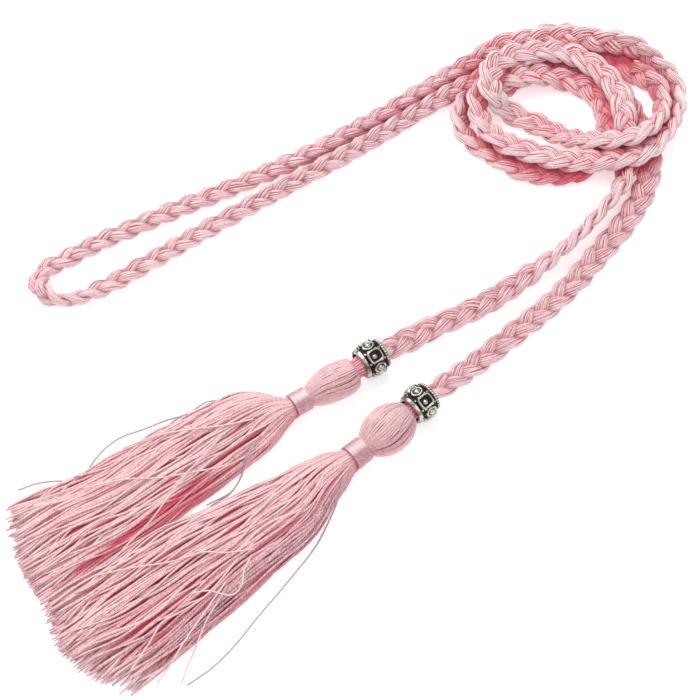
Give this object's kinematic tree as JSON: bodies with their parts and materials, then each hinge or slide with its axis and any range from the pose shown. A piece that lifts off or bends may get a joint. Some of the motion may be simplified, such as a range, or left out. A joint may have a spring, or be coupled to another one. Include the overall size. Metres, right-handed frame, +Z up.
{
  "type": "braided tassel belt",
  "caption": "Flat three-strand braided waist belt of soft pink yarn, laid folded and loosely coiled, with a metal bead and a bound yarn tassel at each end.",
  "frame": {"origin": "middle of the laid belt's bounding box, on the surface that it lies on", "axes": "+Z up from the surface; +Y from the tassels' ends towards the coil, the longest extent; +X from the folded end towards the coil"},
  "size_m": [0.2268, 0.2536, 0.0159],
  "materials": {
    "braid_yarn": "soft twisted yarn with a slight silky sheen",
    "tassel_yarn": "soft twisted yarn with a slight silky sheen",
    "binding_thread": "fine shiny thread wound side by side",
    "bead_metal": "cast metal, darkened in the hollows and polished on the raised edges"
  },
  "bodies": {
    "root": {"braid": "braid_yarn", "bead_1": "bead_metal", "bead_2": "bead_metal", "tassel_1": "tassel_yarn", "tassel_2": "tassel_yarn", "binding_1": "binding_thread", "binding_2": "binding_thread"}
  },
  "joints": []
}
